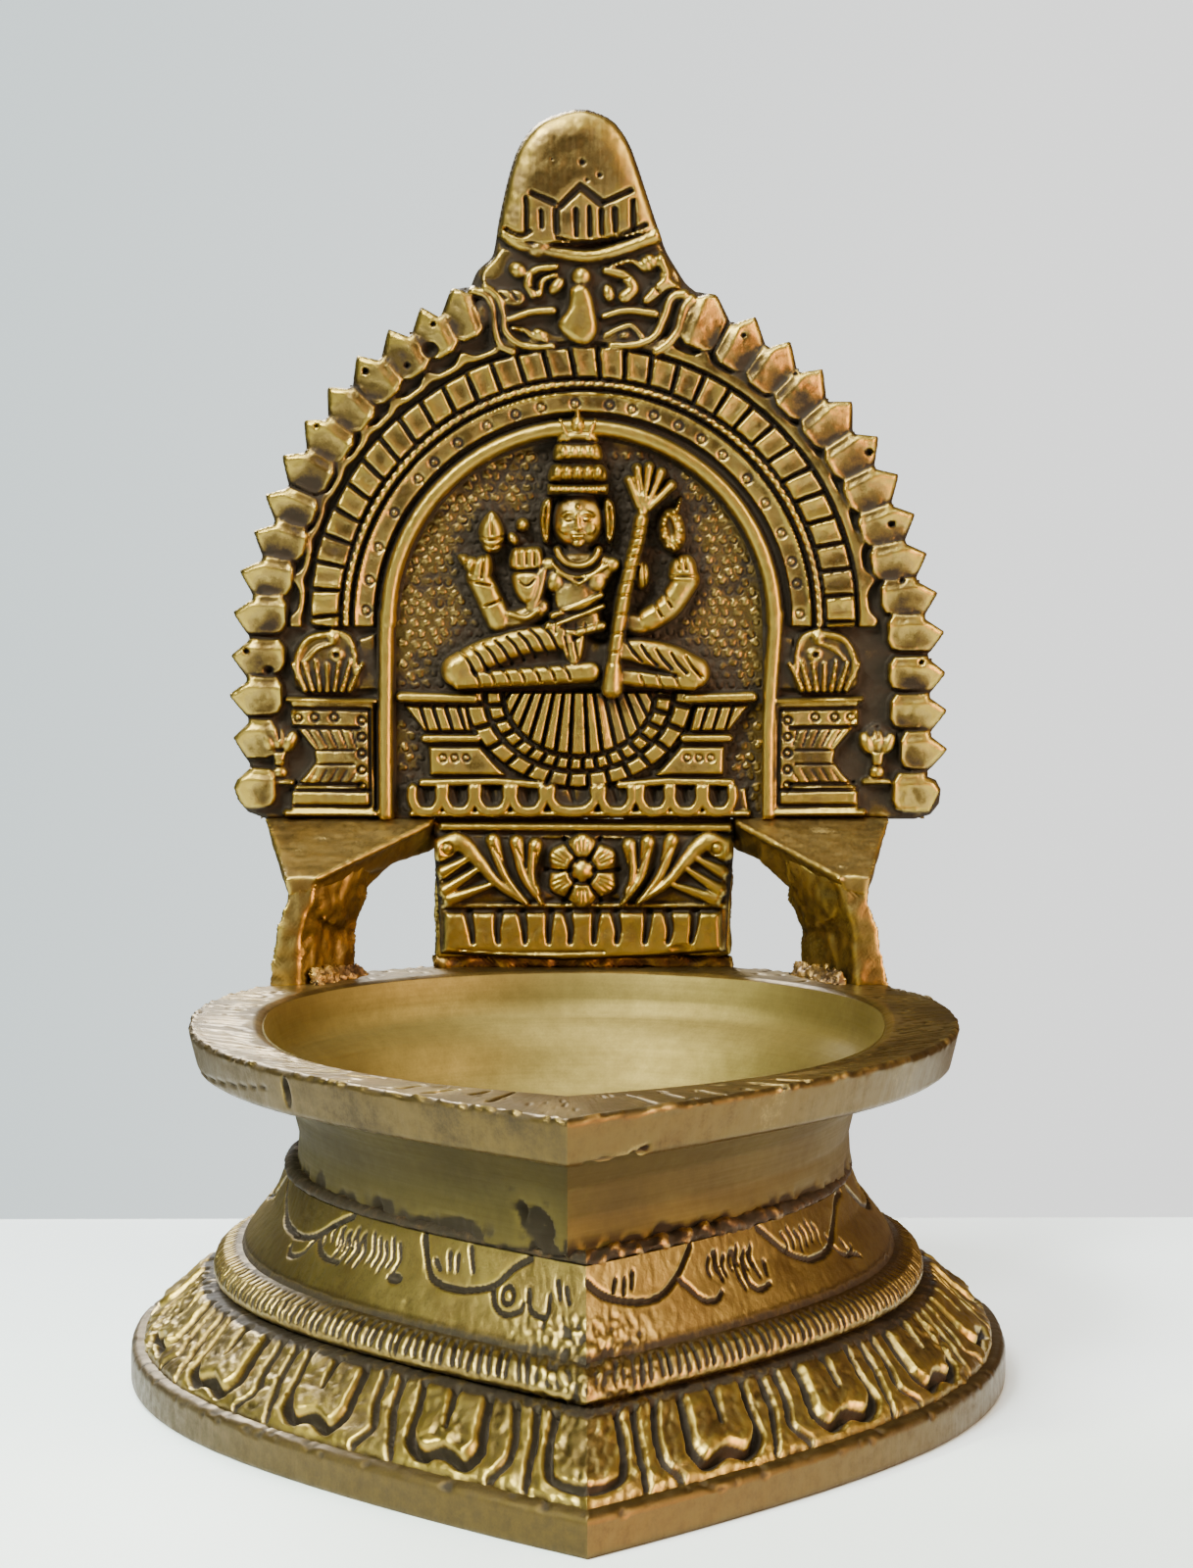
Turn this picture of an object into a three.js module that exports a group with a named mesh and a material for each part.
// A cast-brass oil lamp (diya): a leaf-plan pedestal, a leaf-plan bowl brazed on it, and a relief
// back plate that stands on two legs and an apron on the back of the bowl's rim.
// Millimetres, +Z up, -Y is the front (the pointed spout side). The origin is under the middle of
// the foot's box, on the surface that the lamp stands on.
import * as THREE from 'three';
import { ConvexGeometry } from 'three/addons/geometries/ConvexGeometry.js';

// ---- Driving dimensions ----
const TOTAL_HEIGHT = 150;
const FOOT_HALF_WIDTH = 51.2;
const FOOT_TIP_REACH = 84.3; // from the widest line forward to the pointed tip
const WIDEST_Y = (FOOT_TIP_REACH - FOOT_HALF_WIDTH) / 2; // the widest line, in the part's frame
const FOOT_TIP_X = 1.8; // the three castings are brazed by eye, so their centre lines wander a little
const BOWL_X = 0.7;
const BOWL_TIP_X = -0.1;
const PLATE_X = 1.6;

const FOOT_TOP = 4.4;
const SKIRT_TOP = 11;
const BEAD_TOP = 14.8;
const DRUM_TOP = 23.6;
const NECK_BASE = 24.2;
const RIM_BASE = 35.8;
const RIM_TOP = 40.8;
const WALL = 3;

const RIM_HALF_WIDTH = 44.9;
const RIM_TIP_REACH = 73.9;
const OPENING_HALF_WIDTH = 36;
const OPENING_REACH = 57.5;
const CUP_FLOOR = 24.4;

const PLATE_FRONT = WIDEST_Y + 40; // the plate's flat field, which the relief stands on
const PLATE_THICK = 2.9;
const PLATE_BACK = PLATE_FRONT + PLATE_THICK;
const PLATE_BASE = 60; // the height where the arch ends and the wings, legs and apron begin
const ARCH_Z = 85.4; // the centre of the arches
const SEAT_Z = 76.8; // the top of the throne

const OUTLINE_BACK_STEPS = 20;
const OUTLINE_SIDE_STEPS = 14;

const brass = (color, roughness = 0.42) =>
  new THREE.MeshStandardMaterial({ color, roughness, metalness: 1 });
const GROUND_BRASS = 0xb08d4c;
const CAST_BRASS = 0x9a7b3e;
const BRIGHT_BRASS = 0xc4a561;
const DARK_BRAZE = 0x4a3a26;

const lamp = new THREE.Group();

function add(name, geometry, color, roughness) {
  const mesh = new THREE.Mesh(geometry, brass(color, roughness));
  mesh.name = name;
  lamp.add(mesh);
  return mesh;
}

// ---- Leaf outlines and the solids lofted through them ----

// A leaf's plan: a round back and two full sides that meet in a pointed front. fullness goes from 0,
// the pointed leaf of the castings, to 1, the blunter leaf of the bowl's opening.
function leaf({ r, l, fullness = 0, x = 0, tipX = x }) {
  const sideReach = THREE.MathUtils.lerp(0.365, 0.69, fullness);
  const tipWidth = THREE.MathUtils.lerp(0.8, 0.455, fullness);
  const tipReach = THREE.MathUtils.lerp(0.588, 0.87, fullness);
  const side = (hand) => {
    const shoulder = new THREE.Vector2(x + hand * r, 0);
    const flank = new THREE.Vector2(x + hand * r, -sideReach * l);
    const cheekX = THREE.MathUtils.lerp(x, tipX, 0.25) + hand * tipWidth * r;
    const cheek = new THREE.Vector2(cheekX, -tipReach * l);
    const tip = new THREE.Vector2(tipX, -l);
    return new THREE.CubicBezierCurve(shoulder, flank, cheek, tip).getPoints(OUTLINE_SIDE_STEPS);
  };
  const back = new THREE.EllipseCurve(x, 0, r, r, 0, Math.PI).getPoints(OUTLINE_BACK_STEPS);
  return [
    ...back.slice(0, -1),
    ...side(-1).slice(0, -1),
    ...side(1).reverse().slice(0, -1),
  ];
}

// A closed body through leaf outlines. The levels run up the outside and down the inside. A ring's
// last level joins its first; a capped body starts and ends on a flat leaf.
function loft(levels, capped = false) {
  const rings = levels.map((level) => leaf(level).map((p) => [p.x, p.y + WIDEST_Y, level.z]));
  const count = rings[0].length;
  const positions = rings.flat(2);
  const index = [];
  const spans = capped ? levels.length - 1 : levels.length;
  for (let i = 0; i < spans; i += 1) {
    const low = i * count;
    const high = ((i + 1) % levels.length) * count;
    for (let j = 0; j < count; j += 1) {
      const k = (j + 1) % count;
      index.push(low + j, low + k, high + k, low + j, high + k, high + j);
    }
  }
  if (capped) {
    for (const end of [0, levels.length - 1]) {
      const centre = positions.length / 3;
      positions.push(levels[end].x ?? 0, WIDEST_Y - levels[end].l / 4, levels[end].z);
      for (let j = 0; j < count; j += 1) {
        const a = end * count + j;
        const b = end * count + ((j + 1) % count);
        index.push(centre, ...(end === 0 ? [b, a] : [a, b]));
      }
    }
  }
  const geometry = new THREE.BufferGeometry();
  geometry.setAttribute('position', new THREE.Float32BufferAttribute(positions, 3));
  geometry.setIndex(index);
  geometry.computeVertexNormals();
  return geometry;
}

// ---- The pedestal: a hollow casting, open underneath ----

const pedestalLevel = (r, l, z) => ({ r, l, z, tipX: FOOT_TIP_X });
const insideLevel = (r, l, z) => pedestalLevel(r - WALL, l - WALL * 1.5, z);

add('foot_flange', loft([
  pedestalLevel(FOOT_HALF_WIDTH, FOOT_TIP_REACH, 0),
  pedestalLevel(FOOT_HALF_WIDTH, FOOT_TIP_REACH, FOOT_TOP - 0.6),
  pedestalLevel(FOOT_HALF_WIDTH - 0.6, FOOT_TIP_REACH - 0.9, FOOT_TOP),
  insideLevel(48.6, 81.4, FOOT_TOP),
  insideLevel(49.6, 82.8, 0),
]), GROUND_BRASS, 0.38);

add('lotus_skirt', loft([
  pedestalLevel(50, 82.8, FOOT_TOP),
  pedestalLevel(48.8, 80.8, FOOT_TOP + 1.5),
  pedestalLevel(45.4, 75.8, 8.4),
  pedestalLevel(42.4, 71.6, SKIRT_TOP),
  insideLevel(40.6, 69, SKIRT_TOP),
  insideLevel(43.6, 73.6, 8),
  insideLevel(48.6, 81.4, FOOT_TOP),
]), CAST_BRASS);

add('bead_ring', loft([
  pedestalLevel(40.6, 68.8, SKIRT_TOP),
  pedestalLevel(41.5, 70.2, SKIRT_TOP + 0.9),
  pedestalLevel(41.5, 70.2, SKIRT_TOP + 1.9),
  pedestalLevel(40.6, 69.2, BEAD_TOP - 0.7),
  pedestalLevel(38.9, 67.2, BEAD_TOP),
  insideLevel(37.6, 65, BEAD_TOP),
  insideLevel(40.6, 69, SKIRT_TOP),
]), CAST_BRASS);

add('scroll_drum', loft([
  pedestalLevel(38.4, 66.6, BEAD_TOP),
  pedestalLevel(37, 65.2, 17),
  pedestalLevel(34.4, 62.8, 20.2),
  pedestalLevel(33, 60.8, DRUM_TOP),
  insideLevel(33, 60.4, DRUM_TOP),
  insideLevel(37.6, 65, BEAD_TOP),
]), CAST_BRASS);

add('neck_braze', loft([
  pedestalLevel(32.8, 60.4, DRUM_TOP),
  pedestalLevel(33.2, 60.9, (DRUM_TOP + NECK_BASE) / 2),
  pedestalLevel(32.8, 60.4, NECK_BASE),
  pedestalLevel(30.6, 57.2, NECK_BASE),
  pedestalLevel(30.6, 57.2, DRUM_TOP),
]), DARK_BRAZE, 0.8);

// ---- The bowl: a cup with a flaring neck, and the broad flat rim around its opening ----

const bowlLevel = (r, l, z, fullness = 0) => ({ r, l, z, fullness, x: BOWL_X, tipX: BOWL_TIP_X });
const cupMouth = bowlLevel(35.2, 57, RIM_BASE, 0.75);

add('bowl_cup', loft([
  bowlLevel(27.6, 53, NECK_BASE - 2.4),
  bowlLevel(28.6, 54.4, NECK_BASE),
  bowlLevel(32.4, 60, NECK_BASE),
  bowlLevel(32.2, 59.8, 28),
  bowlLevel(33, 61, 31.4),
  bowlLevel(35.2, 63.6, 34.2),
  bowlLevel(39.4, 68.2, RIM_BASE),
  cupMouth,
  bowlLevel(32.6, 56.2, 34.4, 0.35),
  bowlLevel(30.6, 55.2, 31.5, 0.1),
  bowlLevel(29, 53.4, 28),
  bowlLevel(25.8, 48.6, 25.2),
  bowlLevel(21.5, 41.5, CUP_FLOOR),
], true), BRIGHT_BRASS, 0.3);

add('bowl_rim', loft([
  bowlLevel(43.2, 72, RIM_BASE),
  bowlLevel(44, 72.9, RIM_BASE + 0.5),
  bowlLevel(RIM_HALF_WIDTH, RIM_TIP_REACH, RIM_TOP - 0.5),
  bowlLevel(44.4, 73.2, RIM_TOP),
  bowlLevel(OPENING_HALF_WIDTH, OPENING_REACH, RIM_TOP, 1),
  cupMouth,
]), GROUND_BRASS, 0.36);

// ---- The back plate: every solid here is an upright slab, drawn as it is seen from the front ----

const at = (x, z) => new THREE.Vector2(x + PLATE_X, z);
const polygon = (...points) => new THREE.Shape(points.map(([x, z]) => at(x, z)));
const smooth = (...points) => {
  const curve = new THREE.SplineCurve([...points, points[0]].map(([x, z]) => at(x, z)));
  return new THREE.Shape(curve.getPoints(points.length * 3).slice(0, -1));
};
// Points drawn for the left side (x < 0), placed on the side that hand names.
const mirrored = (points, hand) => points.map(([x, z]) => [-hand * x, z]);
const SIDES = [['left', -1], ['right', 1]];

function slab(name, shape, back, depth, color, curveSegments = 10) {
  const options = { depth, bevelEnabled: false, curveSegments };
  const geometry = new THREE.ExtrudeGeometry(shape, options).rotateX(Math.PI / 2);
  const mesh = add(name, geometry, color);
  mesh.position.y = back;
}

// A piece of relief stands on the plate's field.
const relief = (name, shape, height, color = CAST_BRASS) =>
  slab(name, shape, PLATE_FRONT, height, color);

// The toothed edge: pointed petals along a straight side and then an arc up to the crest.
const PETALS_PER_SIDE = 15;
const PETAL_START = { left: 1.3, right: -0.9 }; // where the evenly spaced petals would begin
const PETAL_PITCH = { left: 5.17, right: 5.38 };
const FRINGE_X = 0.4; // the fringe's own centre line, off the plate's
const FRINGE_TIP = 44;
const FRINGE_NOTCH = 42;
const FRINGE_INSIDE = 38.3;
const FRINGE_FLARE = { left: 1.1, right: 2.1 }; // how much wider the straight part is than the arc
const FLARE_ANGLE = 0.25;
const FRINGE_INSIDE_LOW = 41.4; // narrower beside the vases
const FIRST_PETAL_Z = 64;

function edgePoint(side, along, reach) {
  const hand = side === 'left' ? -1 : 1;
  const straight = ARCH_Z - FIRST_PETAL_Z;
  const angle = Math.max(0, (along - straight) / FRINGE_TIP);
  const radius = reach + FRINGE_FLARE[side] * Math.max(0, 1 - angle / FLARE_ANGLE);
  const z = Math.min(FIRST_PETAL_Z + along, ARCH_Z) + radius * Math.sin(angle);
  return [FRINGE_X + hand * radius * Math.cos(angle), z];
}

// The lowest petal is a larger one at the start; the others follow evenly.
function petalPlace(side, i) {
  return i <= 0 ? 0 : PETAL_START[side] + i * PETAL_PITCH[side];
}

function teeth(side) {
  const points = [];
  for (let i = 0; i < PETALS_PER_SIDE; i += 1) {
    const notch = (petalPlace(side, i) + petalPlace(side, i + 1)) / 2;
    points.push(edgePoint(side, petalPlace(side, i), FRINGE_TIP));
    points.push(edgePoint(side, notch, FRINGE_NOTCH));
  }
  return points;
}

const crestLeft = [[-13.6, 127.8], [-12.6, 129.8], [-10.9, 131.3], [-10.3, 136], [-9.4, 140]];
const crestTop = [
  [-8.4, 144], [-7.3, 146.2], [-5.4, 148.2], [-2.8, 149.5], [0, TOTAL_HEIGHT],
  [2.4, 149.5], [4.4, 148.2], [6.1, 146], [7.3, 143],
];
const crestRight = [[8.8, 138], [10.1, 134], [12, 130], [13.4, 128]];

slab('back_panel', polygon(
  [-39.9, PLATE_BASE],
  ...teeth('left'),
  ...crestLeft,
  ...crestTop,
  ...crestRight,
  ...teeth('right').reverse(),
  [46, 61.8],
  [42.4, PLATE_BASE],
), PLATE_BACK, PLATE_THICK, CAST_BRASS);

for (const [side] of SIDES) {
  const inner = [];
  for (let i = PETALS_PER_SIDE - 1; i >= 0; i -= 1) {
    const reach = i < 3 ? FRINGE_INSIDE_LOW : FRINGE_INSIDE;
    inner.push(edgePoint(side, petalPlace(side, i), reach));
  }
  relief(`petal_fringe_${side}`, polygon(...teeth(side).slice(0, -1), ...inner), 3);
}

// A band between two radii, from one angle round to another.
function band(outside, inside, from, to) {
  const shape = new THREE.Shape();
  shape.absarc(PLATE_X, ARCH_Z, outside, from, to);
  shape.absarc(PLATE_X, ARCH_Z, inside, to, from, true);
  return shape;
}

slab('block_arch', band(34.4, 31, 0, Math.PI), PLATE_FRONT, 3, CAST_BRASS, 20);
slab('cord_arch', band(30.6, 29.2, 0, Math.PI), PLATE_FRONT, 2.6, CAST_BRASS, 20);
slab('ring_arch', band(28.6, 26.2, 0, Math.PI), PLATE_FRONT, 2.8, CAST_BRASS, 20);

// The inner arch's two halves come down as straight posts and stop short of the crown at the top.
const POST_BASE = PLATE_BASE + 0.4;
const CROWN_GAP_ANGLE = 0.2;

for (const [side, hand] of SIDES) {
  const start = hand > 0 ? 0 : Math.PI;
  const end = Math.PI / 2 - hand * CROWN_GAP_ANGLE;
  const shape = new THREE.Shape();
  shape.moveTo(PLATE_X + hand * 25.6, POST_BASE);
  shape.absarc(PLATE_X, ARCH_Z, 25.6, start, end, hand < 0);
  shape.absarc(PLATE_X, ARCH_Z, 23.2, end, start, hand > 0);
  shape.lineTo(PLATE_X + hand * 23.2, POST_BASE);
  slab(`inner_arch_${side}`, shape, PLATE_FRONT, 3.6, CAST_BRASS, 12);
}

relief('crest_finial', smooth(
  [-9.8, 135], [-9, 139.8], [-7.6, 144.4], [-5.2, 147.6], [-0.6, 149.4], [4, 147.6],
  [6.6, 143], [8.2, 138], [9.2, 135], [0, 133.9],
), 3.6, GROUND_BRASS);
relief('crest_mask', polygon(
  [-12.2, 128.6], [-10, 132.8], [-0.6, 132.2], [9.2, 133], [11.6, 128.6],
  [11.4, 125], [8.6, 120.6], [-9.4, 120.6], [-12.4, 125],
), 3.2);

for (const [side, hand] of SIDES) {
  relief(`makara_${side}`, smooth(...mirrored([
    [-36.8, 77], [-37.2, 81], [-35, 84.2], [-31, 84.6], [-28.4, 82], [-27.4, 77],
  ], hand)), 3.4);
  relief(`pillar_${side}`, polygon(...mirrored([
    [-37.6, 60.6], [-37.6, 64.6], [-34.6, 67.4], [-34.2, 69.6], [-36.8, 72], [-37.8, 76],
    [-26, 76], [-26, 60.6],
  ], hand)), 3.2);
  relief(`vase_${side}`, polygon(...mirrored([
    [-40.6, 65], [-39.4, 67], [-40.9, 70], [-39.8, 72.2], [-38.4, 72.2], [-37, 70.2],
    [-38, 67], [-37.8, 65.6],
  ], hand)), 2.6);
  relief(`throne_${side}`, polygon(...mirrored([
    [-22.8, 77.2], [-14.6, 77.2], [-14.4, 73], [-12.9, 69.4], [-9.8, 66.2], [-5, 64.5],
    [-20.6, 64.5], [-19.4, 66], [-19.8, 71.4], [-22.8, 75.4],
  ], hand)), 3);
}

relief('throne_plinth', polygon([-21.8, 60.5], [-19.6, 64.2], [19.2, 64.2], [21.4, 60.5]), 3.4);

// The pleated cloth that hangs over the seat as a half disc.
const clothShape = new THREE.Shape();
clothShape.absellipse(PLATE_X - 0.2, SEAT_Z - 0.3, 13.7, 11.8, Math.PI, 2 * Math.PI);
relief('seat_cloth', clothShape, 3.4);

// The seated figure, in broad planes.
const figureAt = (points) => points.map(([x, z]) => [x - 0.2, z]);
relief('figure_legs', smooth(...figureAt([
  [-16.6, 79], [-14, 81.8], [-6, 84.6], [0, 82.2], [7.4, 83.4], [13.6, 81.4], [16.2, 78.6],
  [12, 77.2], [0, 77.1], [-12, 77.2],
])), 4);
relief('figure_torso', polygon(...figureAt([
  [-3.2, 85.4], [-4, 90], [-5.4, 93.4], [-2.6, 95.2], [2.4, 95.2], [4.6, 93.4], [3.2, 90], [2.6, 85.4],
])), 3.8);
relief('figure_head', smooth(...figureAt([
  [-2.4, 96.2], [-5.2, 97.6], [-5.4, 101.2], [0, 101.9], [5, 101.2], [4.6, 97.6], [2.4, 96.2],
])), 3.8);
relief('figure_crown', polygon(...figureAt([
  [-3.8, 102.4], [-3.8, 106], [-2.8, 109.4], [0, 111.2], [2.6, 109.4], [3.8, 106], [3.8, 102.4],
])), 3.9);
relief('figure_arm_left', polygon(...figureAt([
  [-9.6, 85.4], [-15.6, 93.6], [-12.8, 95.6], [-12.6, 99], [-11, 100.2], [-9.6, 98],
  [-8.2, 98.8], [-6.4, 98.4], [-6.4, 95.4], [-5.9, 93.8], [-5, 88.4], [-6, 86.4],
])), 3.8);
relief('figure_arm_right', polygon(...figureAt([
  [6.2, 84.8], [9.4, 84.9], [14.8, 92.4], [13.6, 96], [12.4, 98.8], [10.7, 98.8], [10, 95.6],
  [10.6, 92.4], [8.9, 89.5], [6.5, 88.4],
])), 3.8);
relief('figure_staff', polygon(...figureAt([
  [3.6, 84.9], [5.6, 84.9], [6, 89.8], [8.7, 90.3], [8.3, 98.6], [10.4, 103.4], [8.4, 105.4],
  [6.2, 103.6], [6.5, 98.6], [5.4, 93],
])), 3.8);

// ---- What carries the plate: the apron in the middle, and a wing and a leg on each side ----

const APRON_HALF_WIDTH = 19.2;
const APRON_SHIFT = 0.4; // the apron and the legs each stand a little off the plate's centre line
const LEG_SHIFT = -0.4;
const APRON_BASE = 42;
const APRON_FRONT_DEPTH = 2.4;

const apronBand = (low, high) => {
  const left = APRON_SHIFT - APRON_HALF_WIDTH;
  const right = APRON_SHIFT + APRON_HALF_WIDTH;
  return polygon([left, low], [right, low], [right, high], [left, high]);
};
const apronDepth = PLATE_THICK + APRON_FRONT_DEPTH;
slab('apron_panel', apronBand(APRON_BASE, PLATE_BASE), PLATE_BACK, apronDepth, CAST_BRASS);

const rosetteShape = new THREE.Shape();
rosetteShape.absarc(PLATE_X - 0.6, 53.6, 4.8, 0, 2 * Math.PI);
slab('rosette', rosetteShape, PLATE_FRONT - APRON_FRONT_DEPTH, 1.2, CAST_BRASS, 10);

for (const [side, hand] of SIDES) {
  slab(`scroll_leaf_${side}`, polygon(...mirrored([
    [-18, 50], [-18.4, 56.8], [-15.6, 58.6], [-12.8, 56.6], [-11.4, 58], [-5.8, 57.4],
    [-6.6, 52.6], [-3.8, 49.6], [-9, 49.2],
  ], hand).map(([x, z]) => [x - 0.5, z])), PLATE_FRONT - APRON_FRONT_DEPTH, 1.2, CAST_BRASS);
}

// The web fills the gap between the apron's lower edge and the rim, set back from the apron's face.
slab('rear_web', apronBand(RIM_TOP, APRON_BASE), PLATE_BACK, PLATE_THICK, DARK_BRAZE);

const hull = (points) => new ConvexGeometry(points.map(([x, y, z]) => new THREE.Vector3(x, y, z)));
const LEG_TOP = 53;
const legFoot = [[37.3, 22.5], [34.4, 22.5], [28.2, 33.5], [31, 36]];
const legHead = [[36, 22.5], [33.4, 22.5], [27.2, 33.5], [30.2, 36]];

for (const [side, hand] of SIDES) {
  const place = ([x, y, z]) => [hand * x + PLATE_X + LEG_SHIFT, y + WIDEST_Y, z];
  const atApron = ([y, z]) => [
    PLATE_X + APRON_SHIFT + hand * APRON_HALF_WIDTH,
    y + WIDEST_Y,
    z,
  ];
  const backY = PLATE_BACK - WIDEST_Y;
  const head = legHead.map(([x, y]) => place([x, y, LEG_TOP]));
  const foot = legFoot.map(([x, y]) => place([x, y, RIM_TOP]));
  add(`leg_${side}`, hull([...foot, ...head]), CAST_BRASS);
  // The wing slopes down and forward from the foot of the plate to the leg's front.
  add(`wing_${side}`, hull([
    ...head,
    ...[[backY, PLATE_BASE], [38, PLATE_BASE], [36.6, 59.2], [backY, 54.4]].map(atApron),
    ...[
      [40, backY, PLATE_BASE], [39.8, 38, PLATE_BASE], [31.6, 22.5, 55], [36.4, 22.5, 54.6],
      [38.2, backY, 56], [24, backY, 54], [27.4, backY, LEG_TOP],
    ].map(place),
  ]), GROUND_BRASS, 0.38);
  // The filler metal heaped where the leg's inner side meets the rim.
  add(`foot_braze_${side}`, hull([
    [33.4, 22.9, RIM_TOP], [32, 22.2, RIM_TOP], [26.4, 32.6, RIM_TOP], [27.6, 33.2, RIM_TOP],
    [32.9, 23.9, RIM_TOP + 1.8], [27.9, 32.6, RIM_TOP + 1.6],
  ].map(place)), DARK_BRAZE, 0.8);
}

export default lamp;
